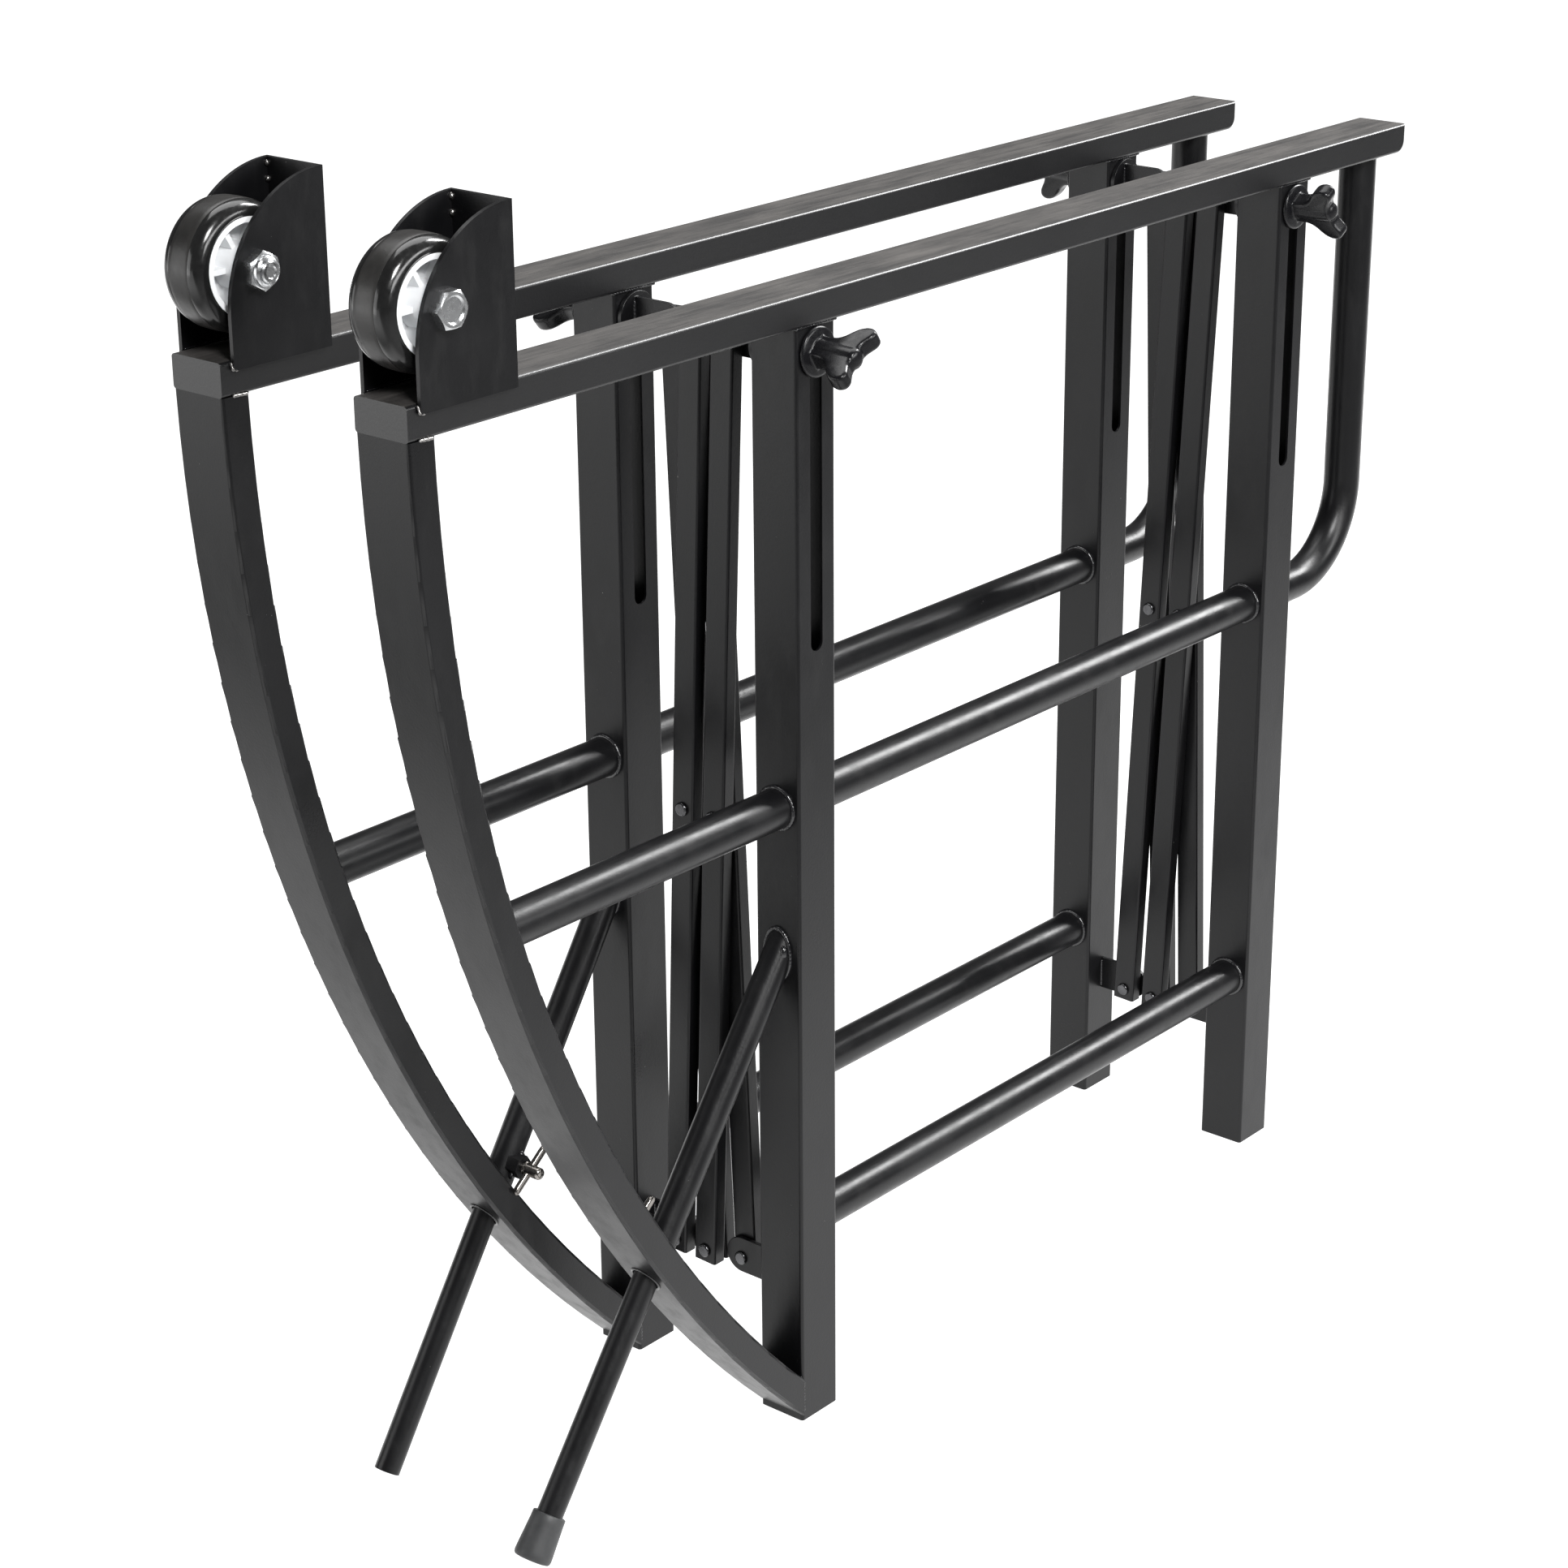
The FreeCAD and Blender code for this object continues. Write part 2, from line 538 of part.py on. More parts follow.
def station_nodes():
    mid_z = (LOW_PIVOT_Z + HIGH_PIVOT_Z) / 2
    half_y = PIVOT_Y / 2
    run = RUN_FIT
    front = {
        "near_fixed_bar": bar(BACK_LAYER, -PIVOT_Y, 0, (run, 0, 0)),
        "near_slide_bar": bar(FRONT_LAYER, 0, -PIVOT_Y, (OPEN_FIT, run, run)),
        "far_fixed_bar": bar(FRONT_LAYER, PIVOT_Y, 0, (OPEN_FIT, run, run)),
        "far_slide_bar": bar(BACK_LAYER, 0, PIVOT_Y, (0, 0, run)),
        "near_bar_pins": Part.makeCompound([full_pin(-half_y, mid_z), full_pin(0, HIGH_PIVOT_Z)]),
        "far_bar_pins": Part.makeCompound([full_pin(half_y, mid_z), full_pin(0, LOW_PIVOT_Z)]),
        "near_slider": slider(NEAR),
        "far_slider": slider(FAR),
    }
    nodes = {}
    for name, shape in front.items():
        nodes["front_" + name] = shape
        nodes["rear_" + name] = moved_back(shape)
    for label, side in (("near", NEAR), ("far", FAR)):
        nodes["front_" + label + "_knob"] = knob(side, KNOB_ANGLE["front_" + label])
        nodes["rear_" + label + "_knob"] = moved_back(knob(side, KNOB_ANGLE["rear_" + label]))
        bracket = link_bracket(side)
        fixing = bracket_pin(side)
        nodes[label + "_link_brackets"] = Part.makeCompound([bracket, moved_back(bracket)])
        nodes[label + "_bracket_pins"] = Part.makeCompound([fixing, moved_back(fixing)])
    return nodes


all_nodes = frame_nodes()
all_nodes.update(station_nodes())
for node, shape in all_nodes.items():
    shape.exportStep("parts/" + node + ".step")
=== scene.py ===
import json
import math

import bmesh
import bpy
from mathutils import Matrix, Vector, noise


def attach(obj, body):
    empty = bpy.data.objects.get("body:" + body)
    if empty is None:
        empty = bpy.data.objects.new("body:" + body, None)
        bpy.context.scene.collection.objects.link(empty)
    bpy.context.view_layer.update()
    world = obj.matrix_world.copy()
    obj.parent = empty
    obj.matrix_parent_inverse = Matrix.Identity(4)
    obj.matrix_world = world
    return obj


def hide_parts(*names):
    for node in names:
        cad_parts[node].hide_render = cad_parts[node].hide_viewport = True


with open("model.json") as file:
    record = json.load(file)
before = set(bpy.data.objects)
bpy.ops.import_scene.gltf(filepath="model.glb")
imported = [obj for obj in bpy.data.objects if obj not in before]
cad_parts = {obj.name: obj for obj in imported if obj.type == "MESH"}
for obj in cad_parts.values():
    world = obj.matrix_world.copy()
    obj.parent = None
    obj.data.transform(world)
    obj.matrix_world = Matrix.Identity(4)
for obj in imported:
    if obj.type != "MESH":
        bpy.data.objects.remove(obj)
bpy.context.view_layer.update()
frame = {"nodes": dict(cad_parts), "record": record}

NODES = frame["nodes"]
MM = 0.001
SIDES = {"near": -1.0, "far": 1.0}
STATIONS = ("front", "rear")

# ---- sizes in millimetres -----------------------------------------------------------------------
FRAME_Y = 69.0
POST = 34.0
POST_X = {"front": -151.8, "rear": 344.2}
POST_FRONT_FACE = -168.8
RAIL_TOP = 720.0
FLAT_W = 38.0
FLAT_H = 19.0
ARC_X = 519.2
ARC_Z = 716.0
ARC_R = 990.0
MID_Z = 410.0
LOW_Z = 128.5
MID_R = 12.5
HANDLE_X = 450.2
KNOB_ANGLE = {
    "front_near_knob": 34.0,
    "rear_near_knob": 122.0,
    "front_far_knob": 40.0,
    "rear_far_knob": 98.0,
}
# one half of the knob's outline as (across, outward), then its layers as (inset, share of half thickness)
KNOB_OUTLINE = [(8.4, 1.5), (8.1, 5.0), (8.2, 9.0), (9.2, 12.8), (11.8, 16.2), (15.6, 19.2), (18.8, 22.6),
                (20.4, 26.6), (20.1, 30.6), (17.8, 33.2), (14.2, 33.4), (10.8, 31.8), (7.6, 30.2),
                (4.0, 29.6), (0.0, 29.4)]
KNOB_LAYERS = [(1.9, -1.0), (0.6, -0.88), (0.0, -0.62), (0.0, 0.62), (0.6, 0.88), (1.9, 1.0)]
KNOB_BASE = 86.3
KNOB_Z = 685.0
WHEEL_X = -443.8
WHEEL_Z = 765.3
WHEEL_R = 35.5
TYRE_W = 30.0
RIM_R = 26.5
AXLE_R = 6.0
HEX_AF = 19.0
HEAD_H = 6.5
BRACKET_T = 2.5
BRACKET_FRONT_X = -463.2
BRACKET_REAR_X = -394.2
BRACKET_LOW_Z = 715.0
LEG_TOP_Z = {"near": 316.5, "far": 322.5}
LEG_LEAN = {"near": 36.3, "far": 33.6}
SLEEVE_R = 9.5
LEG_HOLE_R = 8.6
FOOT_R = 11.5
SCREW_AT = {"near": 179.0, "far": 180.0}
THUMB_ANGLE = 38.0




# ---- shader helpers --------------------------------------------------------------------------
class Shader:
    """A material with a Principled surface and short calls for the nodes that feed it."""

    def __init__(self, name, **values):
        self.material = bpy.data.materials.new(name)
        self.material.use_nodes = True
        self.tree = self.material.node_tree
        self.surface = self.tree.nodes["Principled BSDF"]
        for socket, value in values.items():
            self.surface.inputs[socket.replace("_", " ")].default_value = value

    def node(self, kind, **settings):
        made = self.tree.nodes.new(kind)
        for key, value in settings.items():
            if hasattr(made, key):
                setattr(made, key, value)
            else:
                made.inputs[key.replace("_", " ")].default_value = value
        return made

    def link(self, source, target):
        self.tree.links.new(source, target)

    def place(self, scale=(1, 1, 1)):
        """Object coordinates in metres, stretched by scale."""
        coordinates = self.node("ShaderNodeTexCoord")
        mapping = self.node("ShaderNodeMapping")
        mapping.inputs["Scale"].default_value = scale
        self.link(coordinates.outputs["Object"], mapping.inputs["Vector"])
        return mapping.outputs["Vector"]

    def noise(self, size, detail=3.0, rough=0.55, stretch=(1, 1, 1)):
        """Noise whose features are about size metres across."""
        made = self.node("ShaderNodeTexNoise", Scale=1.0 / size, Detail=detail, Roughness=rough)
        self.link(self.place(stretch), made.inputs["Vector"])
        return made.outputs["Fac"]

    def span(self, source, low, high, to_low, to_high):
        made = self.node("ShaderNodeMapRange", clamp=True)
        made.inputs["From Min"].default_value = low
        made.inputs["From Max"].default_value = high
        made.inputs["To Min"].default_value = to_low
        made.inputs["To Max"].default_value = to_high
        self.link(source, made.inputs["Value"])
        return made.outputs["Result"]

    def math(self, operation, a, b):
        made = self.node("ShaderNodeMath", operation=operation)
        for k, term in enumerate((a, b)):
            if isinstance(term, (int, float)):
                made.inputs[k].default_value = term
            else:
                self.link(term, made.inputs[k])
        return made.outputs["Value"]

    def mix(self, factor, a, b):
        """Colour mix; a and b are colours or outputs."""
        made = self.node("ShaderNodeMix", data_type="RGBA")
        self.link(factor, made.inputs["Factor"])
        for k, colour in ((6, a), (7, b)):
            if isinstance(colour, tuple):
                made.inputs[k].default_value = colour + (1.0,)
            else:
                self.link(colour, made.inputs[k])
        return made.outputs[2]

    def colour(self, source):
        self.link(source, self.surface.inputs["Base Color"])

    def roughness(self, source):
        self.link(source, self.surface.inputs["Roughness"])

    def bump(self, height, distance, before=None):
        made = self.node("ShaderNodeBump", Strength=1.0, Distance=distance)
        self.link(height, made.inputs["Height"])
        if before:
            self.link(before, made.inputs["Normal"])
        self.link(made.outputs["Normal"], self.surface.inputs["Normal"])
        return made.outputs["Normal"]

    def edges(self, low=0.52, high=0.6):
        geometry = self.node("ShaderNodeNewGeometry")
        return self.span(geometry.outputs["Pointiness"], low, high, 0.0, 1.0)


def powder_coat(name, base=(0.0038, 0.0038, 0.0043), rough=0.31, dust=0.15, level=0.32):
    """Satin black powder coat: fine orange peel, faint handling marks, and a few pale specks."""
    s = Shader(name, Specular_IOR_Level=level)
    cloudy = s.noise(0.07, 4.0)
    scuffs = s.noise(0.012, 5.0, 0.65, (1, 1, 0.35))
    specks = s.span(s.noise(0.0011, 1.0), 0.80, 0.84, 0.0, 1.0)
    rare = s.span(s.noise(0.03, 2.0), 0.60, 0.66, 0.0, 1.0)
    dusty = s.span(scuffs, 0.52, 0.75, 0.0, dust)
    body = s.mix(s.span(cloudy, 0.3, 0.7, 0.0, 1.0), base, tuple(c * 1.4 for c in base))
    body = s.mix(dusty, body, (0.018, 0.0175, 0.017))
    s.colour(s.mix(s.math("MULTIPLY", specks, rare), body, (0.35, 0.34, 0.33)))
    patchy = s.span(cloudy, 0.3, 0.7, rough - 0.04, rough + 0.05)
    s.roughness(s.math("ADD", patchy, s.span(scuffs, 0.45, 0.75, 0.0, 0.10)))
    s.bump(s.noise(0.0016, 2.0), 0.00005)
    return s.material


def rail_coat(name):
    """The same coat, rubbed matt and streaked where loads have slid along the rail's top."""
    s = Shader(name, Specular_IOR_Level=0.6)
    geometry = s.node("ShaderNodeNewGeometry")
    split = s.node("ShaderNodeSeparateXYZ")
    s.link(geometry.outputs["Normal"], split.inputs["Vector"])
    up = s.span(split.outputs["Z"], 0.90, 0.995, 0.0, 1.0)
    streaks = s.noise(0.004, 5.0, 0.7, (0.06, 1, 1))
    swirl = s.noise(0.02, 5.0, 0.7, (0.3, 1, 1))
    worn = s.math("MULTIPLY", s.span(s.math("ADD", streaks, swirl), 0.8, 1.3, 0.2, 1.0), up)
    cloudy = s.span(s.noise(0.07, 4.0), 0.3, 0.7, 0.0, 1.0)
    plain = s.mix(cloudy, (0.0048, 0.0048, 0.0053), (0.007, 0.007, 0.0075))
    s.colour(s.mix(worn, plain, (0.062, 0.057, 0.053)))
    s.roughness(s.math("ADD", s.span(up, 0.0, 1.0, 0.34, 0.52), s.math("MULTIPLY", worn, 0.12)))
    grain = s.math("ADD", s.noise(0.0016, 2.0), s.math("MULTIPLY", s.math("MULTIPLY", streaks, up), 1.5))
    s.bump(grain, 0.00006)
    return s.material


def metal(name, colour, rough, spread=0.1, brushed=(1, 1, 1), size=0.002, depth=0.00002, patchy=0.62):
    s = Shader(name, Metallic=1.0)
    mottled = s.noise(size * 4, 4.0)
    fine = s.noise(size, 3.0, 0.6, brushed)
    dark = tuple(c * patchy for c in colour)
    s.colour(s.mix(s.span(mottled, 0.35, 0.7, 0.0, 1.0), dark, colour))
    s.roughness(s.span(fine, 0.3, 0.7, rough, rough + spread))
    s.bump(fine, depth)
    return s.material


def plastic(name, base, rough, second, size=0.01, peel=0.0012, depth=0.00003, coat=0.0, level=0.5):
    s = Shader(name, Specular_IOR_Level=level, Coat_Weight=coat, Coat_Roughness=0.06)
    cloudy = s.noise(size, 4.0)
    s.colour(s.mix(s.span(cloudy, 0.35, 0.7, 0.0, 1.0), base, second))
    s.roughness(s.span(s.noise(size * 0.3, 4.0), 0.35, 0.7, rough, rough + 0.12))
    s.bump(s.noise(peel, 2.0), depth)
    return s.material


def tread(name):
    """Matt running band of a tyre, greyed with wear, with a few fine pale scratches."""
    s = Shader(name, Specular_IOR_Level=0.4)
    cloudy = s.span(s.noise(0.02, 4.0), 0.35, 0.7, 0.0, 1.0)
    body = s.mix(cloudy, (0.014, 0.0135, 0.013), (0.024, 0.023, 0.022))
    hairs = s.span(s.noise(0.0022, 4.0, 0.7, (1, 0.12, 1)), 0.70, 0.78, 0.0, 0.6)
    patch = s.span(s.noise(0.025, 2.0), 0.55, 0.65, 0.0, 1.0)
    s.colour(s.mix(s.math("MULTIPLY", hairs, patch), body, (0.22, 0.21, 0.20)))
    s.roughness(s.span(s.noise(0.008, 4.0), 0.35, 0.7, 0.30, 0.42))
    s.bump(s.noise(0.0012, 2.0), 0.00005)
    return s.material


MATERIALS = {
    "powder_coat": powder_coat("powder_coat"),
    "rail_coat": rail_coat("rail_coat"),
    "zinc": metal("zinc", (0.62, 0.63, 0.64), 0.20, 0.10, size=0.004, depth=0.000004, patchy=0.85),
    "pin_steel": metal("pin_steel", (0.13, 0.13, 0.135), 0.18, 0.15),
    "dark_chrome": metal("dark_chrome", (0.34, 0.32, 0.30), 0.14, 0.14),
    "knob_plastic": plastic("knob_plastic", (0.005, 0.005, 0.006), 0.20, (0.007, 0.007, 0.008),
                            depth=0.000008, level=0.3),
    "tyre_rubber": plastic("tyre_rubber", (0.007, 0.007, 0.007), 0.15, (0.010, 0.010, 0.010),
                           depth=0.00001, level=0.4, coat=0.2),
    "hub_plastic": plastic("hub_plastic", (0.90, 0.91, 0.92), 0.36, (0.86, 0.87, 0.88)),
    "foot_rubber": plastic("foot_rubber", (0.024, 0.025, 0.026), 0.46, (0.036, 0.037, 0.038)),
}
TREAD = tread("tyre_tread")
WELD = powder_coat("weld_coat", base=(0.008, 0.008, 0.009), rough=0.18, dust=0.1, level=0.7)
BARE_WELD = metal("weld_bare", (0.36, 0.35, 0.34), 0.28, 0.12)

slots = {}
for entry in frame["record"]["subparts"]:
    slots[entry["node"]] = entry["material_slot"]
for node_name, node_object in NODES.items():
    node_object.data.materials.clear()
    node_object.data.materials.append(MATERIALS[slots[node_name]])


# ---- mesh helpers: everything below is in millimetres --------------------------------------------
def arc_x(radius, z):
    """Where a circle round the curved tubes' centre stands, at height z."""
    return ARC_X - math.sqrt(radius ** 2 - (z - ARC_Z) ** 2)


class Form:
    """Vertices and faces of one piece, built up from rings."""

    def __init__(self):
        self.points = []
        self.faces = []
        self.looks = []

    def ring(self, points):
        first = len(self.points)
        self.points.extend(points)
        return list(range(first, first + len(points)))

    def skin(self, a, b, look=0):
        for k in range(len(a)):
            n = (k + 1) % len(a)
            self.faces.append((a[k], a[n], b[n], b[k]))
            self.looks.append(look)

    def close(self, ring, flip=False):
        self.faces.append(tuple(ring if flip else reversed(ring)))
        self.looks.append(0)

    def sweep(self, path, radii, across, sides=14, square=2.0, loop=False):
        """Tube along path; radii are (towards across, the other way); square above 2 flattens it."""
        rings = []
        last = len(path) - 1
        for k, centre in enumerate(path):
            ahead = path[(k + 1) % len(path)] if loop else path[min(k + 1, last)]
            behind = path[k - 1] if loop else path[max(k - 1, 0)]
            along = (ahead - behind).normalized()
            u = (across - along * across.dot(along)).normalized()
            v = along.cross(u)
            ring = []
            for j in range(sides):
                angle = 2 * math.pi * j / sides
                c, s = math.cos(angle), math.sin(angle)
                c = math.copysign(abs(c) ** (2 / square), c)
                s = math.copysign(abs(s) ** (2 / square), s)
                ring.append(centre + u * (radii[k][0] * c) + v * (radii[k][1] * s))
            rings.append(self.ring(ring))
        for a, b in zip(rings, rings[1:]):
            self.skin(a, b)
        if loop:
            self.skin(rings[-1], rings[0])
        else:
            self.close(rings[0])
            self.close(rings[-1], True)

    def lathe(self, start, along, profile, sides=64, looks=()):
        """Turn a profile of (distance along the axis, radius) round the axis."""
        along = along.normalized()
        u = along.orthogonal().normalized()
        v = along.cross(u)
        rings = []
        for out, radius in profile:
            ring = []
            for j in range(sides):
                angle = 2 * math.pi * j / sides
                spoke = u * math.cos(angle) + v * math.sin(angle)
                ring.append(start + along * out + spoke * radius)
            rings.append(self.ring(ring))
        for k in range(len(rings) - 1):
            self.skin(rings[k], rings[k + 1], looks[k] if looks else 0)
        self.close(rings[0])
        self.close(rings[-1], True)

    def hexagon(self, start, along, across, flats, height, turn=0.0):
        """Hexagonal head or nut whose outer face has the usual turned chamfer."""
        along = along.normalized()
        u = across.normalized()
        v = along.cross(u)
        flat_r = flats / 2 * 0.95
        sides = 72
        rings = [[] for k in range(6)]
        for j in range(sides):
            angle = 2 * math.pi * j / sides
            reach = flats / 2 / math.cos((angle + math.pi / 6) % (math.pi / 3) - math.pi / 6)
            spoke = u * math.cos(angle + turn) + v * math.sin(angle + turn)
            low = height - (reach - flat_r) * 0.58
            for ring, radius, out in zip(rings, (reach, reach, flat_r, flat_r - 1.5, flat_r - 2.5, 0.3),
                                         (0.0, low, height, height, height - 0.9, height - 0.75)):
                ring.append(start + spoke * radius + along * out)
        made = [self.ring(ring) for ring in rings]
        for a, b in zip(made, made[1:]):
            self.skin(a, b)
        self.close(made[0])
        self.close(made[-1], True)

    def bead(self, path, size, loop=False, seed=1, ripple=2.4):
        """Weld bead: a rippled rope that swells, shrinks and wanders a little."""
        fine = []
        count = len(path) if loop else len(path) - 1
        for k in range(count):
            a, b = path[k], path[(k + 1) % len(path)]
            steps = max(1, int((b - a).length / 0.7))
            fine.extend(a.lerp(b, s / steps) for s in range(steps))
        if not loop:
            fine.append(path[-1])
        radii = []
        run = 0.0
        last = len(fine) - 1
        for k, point in enumerate(fine):
            run += (point - fine[k - 1]).length if k else 0.0
            wave = 0.5 + 0.5 * math.sin(2 * math.pi * run / ripple)
            swell = 1 + 0.28 * noise.noise(point * 0.17 + Vector((seed, 0, 0)))
            taper = 1.0 if loop else min(1.0, 0.35 + 0.45 * min(k, last - k))
            radius = size * (0.80 + 0.22 * wave) * swell * taper
            radii.append((radius, radius))
        span = fine[len(fine) // 3] - fine[0]
        across = span.orthogonal().normalized()
        if loop:
            across = (fine[len(fine) // 3] - fine[0]).cross(fine[2 * len(fine) // 3] - fine[0]).normalized()
        self.sweep(fine, radii, across, sides=8, loop=loop)

    def blob(self, centre, radii, seed=0):
        """Lumpy weld dot."""
        rows, cols = 8, 12
        rings = []
        for i in range(rows + 1):
            tilt = math.pi * (i + 0.02) / (rows + 0.04)
            ring = []
            for j in range(cols):
                turn = 2 * math.pi * j / cols
                flat = math.sin(tilt)
                way = Vector((flat * math.cos(turn), flat * math.sin(turn), math.cos(tilt)))
                lump = 1 + 0.25 * noise.noise(way * 1.6 + Vector((seed, 3, 1)))
                ring.append(centre + Vector([w * r * lump for w, r in zip(way, radii)]))
            rings.append(self.ring(ring))
        for a, b in zip(rings, rings[1:]):
            self.skin(a, b)
        self.close(rings[0])
        self.close(rings[-1], True)

    def piece(self, name, body, slot_name, materials, replaces=(), mirror=False, sharp=35.0):
        flip = -1.0 if mirror else 1.0
        mesh = bpy.data.meshes.new(name)
        mesh.from_pydata([(p.x * MM, p.y * MM * flip, p.z * MM) for p in self.points], [], self.faces)
        for material in materials:
            mesh.materials.append(material)
        for face, look in zip(mesh.polygons, self.looks):
            face.material_index = look
        grown = bmesh.new()
        grown.from_mesh(mesh)
        bmesh.ops.recalc_face_normals(grown, faces=grown.faces)
        for face in grown.faces:
            face.smooth = True
        for edge in grown.edges:
            edge.smooth = edge.calc_face_angle(0.0) < math.radians(sharp)
        grown.to_mesh(mesh)
        grown.free()
        return add_piece(name, mesh, body, replaces)


def add_piece(name, mesh, body, replaces=()):
    made = bpy.data.objects.new(name, mesh)
    bpy.context.scene.collection.objects.link(made)
    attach(made, body)
    if replaces:
        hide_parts(*replaces)
    return made


def bake(made):
    """Apply the modifiers of an object."""
    graph = bpy.context.evaluated_depsgraph_get()
    mesh = bpy.data.meshes.new_from_object(made.evaluated_get(graph))
    old = made.data
    made.modifiers.clear()
    made.data = mesh
    bpy.data.meshes.remove(old)


def soften(node, body, width, segments=2):
    """Stand-in for a CAD node whose sharp edges are slightly rounded."""
    mesh = NODES[node].data.copy()
    grown = bmesh.new()
    grown.from_mesh(mesh)
    bmesh.ops.remove_doubles(grown, verts=grown.verts, dist=0.00001)
    bmesh.ops.dissolve_limit(grown, angle_limit=math.radians(0.5), verts=grown.verts, edges=grown.edges)
    for face in grown.faces:
        face.smooth = True
    grown.to_mesh(mesh)
    grown.free()
    if "custom_normal" in mesh.attributes:
        mesh.attributes.remove(mesh.attributes["custom_normal"])
    made = add_piece(node + "_soft", mesh, body, (node,))
    bevel = made.modifiers.new("edges", "BEVEL")
    bevel.width = width * MM
    bevel.segments = segments
    bevel.limit_method = "ANGLE"
    bevel.angle_limit = math.radians(35)
    bevel.harden_normals = True
    bake(made)
    return made


# ---- knobs ---------------------------------------------------------------------------------------
def smooth_path(points, steps=5):
    """Points of a curve that runs smoothly through the given (across, out) points."""
    curve = []
    last = len(points) - 1
    for k in range(last):
        p = [points[min(max(k + step, 0), last)] for step in (-1, 0, 1, 2)]
        for j in range(steps):
            s = j / steps
            weights = ((-s + 2 * s ** 2 - s ** 3) / 2, (2 - 5 * s ** 2 + 3 * s ** 3) / 2,
                       (s + 4 * s ** 2 - 3 * s ** 3) / 2, (s ** 3 - s ** 2) / 2)
            curve.append(tuple(sum(w * q[axis] for w, q in zip(weights, p)) for axis in (0, 1)))
    curve.append(points[-1])
    return curve


def knob_form(angle):
    """Wing knob at the origin, its axis along +Y: flange, and a slab that spreads into two broad lobes."""
    form = Form()
    out = Vector((0, 1, 0))
    wide = Vector((math.cos(math.radians(angle)), 0, math.sin(math.radians(angle))))
    thick = wide.cross(out)
    form.lathe(Vector((0, 0, 0)), out, [(0.0, 14.3), (0.5, 14.9), (1.6, 15.0), (2.4, 14.5), (2.9, 13.4),
                                        (3.3, 9.0), (3.6, 2.0)], sides=64)
    form.lathe(Vector((0, 0, 0)), out, [(1.0, 8.4), (8.0, 7.6), (18.0, 6.9), (28.0, 6.3), (30.0, 5.4),
                                        (30.9, 3.4), (31.1, 0.5)], sides=48)
    half = smooth_path(KNOB_OUTLINE)
    outline = half + [(-u, v) for u, v in reversed(half[:-1])]
    rings = []
    for inset, layer in KNOB_LAYERS:
        ring = []
        for k, (u, v) in enumerate(outline):
            before = outline[k - 1]
            after = outline[(k + 1) % len(outline)]
            way = Vector((after[1] - before[1], before[0] - after[0])).normalized()
            depth = layer * (7.0 - 1.7 * min(1.0, v / 24.0))
            ring.append(wide * (u - way.x * inset) + out * (v - way.y * inset) + thick * depth)
        rings.append(form.ring(ring))
    for a, b in zip(rings, rings[1:]):
        form.skin(a, b)
    form.close(rings[0])
    form.close(rings[-1], True)
    return form


def add_knob(station, side):
    name = station + "_" + side + "_knob"
    form = knob_form(KNOB_ANGLE[name])
    made = form.piece(name + "_moulded", name, "knob_plastic", [MATERIALS["knob_plastic"]], (name,))
    flip = SIDES[side]
    for vertex in made.data.vertices:
        x, y, z = vertex.co
        vertex.co = (x + POST_X[station] * MM, flip * (y + KNOB_BASE * MM), z + KNOB_Z * MM)
    if flip < 0:
        made.data.flip_normals()
    melt = made.modifiers.new("melt", "REMESH")
    melt.mode = "VOXEL"
    melt.voxel_size = 0.00045
    melt.use_smooth_shade = True
    relax = made.modifiers.new("relax", "SMOOTH")
    relax.factor = 0.5
    relax.iterations = 14
    thin = made.modifiers.new("thin", "DECIMATE")
    thin.ratio = 0.45
    bake(made)
    made.data.materials.clear()
    made.data.materials.append(MATERIALS["knob_plastic"])


# ---- wheels --------------------------------------------------------------------------------------
def add_wheel(side):
    y = SIDES[side]
    centre = Vector((WHEEL_X, y * FRAME_Y, WHEEL_Z))
    axis = Vector((0, 1, 0))
    half = TYRE_W / 2
    profile = [(-half + 0.4, RIM_R + 0.05), (-half, RIM_R + 0.6), (-half, WHEEL_R - 8.6),
               (-half + 0.25, WHEEL_R - 8.0)]
    steps = 10
    for k in range(steps + 1):
        turn = math.pi / 2 * k / steps
        profile.append((-half + 0.25 + 7.2 * (1 - math.cos(turn)), WHEEL_R - 7.6 + 7.2 * math.sin(turn)))
    profile.append((-half + 7.9, WHEEL_R - 0.45))
    band = len(profile) - 1
    for k in range(7):
        out = -half + 8.2 + (TYRE_W - 16.4) * k / 6
        profile.append((out, WHEEL_R - 0.25 + 0.2 * math.sin(math.pi * k / 6)))
    band_end = len(profile) - 1
    mirror = [(-out, radius) for out, radius in reversed(profile[:band + 1])]
    profile.extend(mirror)
    looks = [1 if band <= k <= band_end else 0 for k in range(len(profile) - 1)]
    form = Form()
    form.lathe(centre, axis, profile, sides=128, looks=looks)
    form.faces = form.faces[:-2]
    form.looks = form.looks[:-2]
    form.skin(list(range(len(form.points) - 128, len(form.points))), list(range(128)))
    form.piece(side + "_tyre_round", side + "_wheel", "tyre_rubber", [MATERIALS["tyre_rubber"], TREAD],
               (side + "_tyre",))


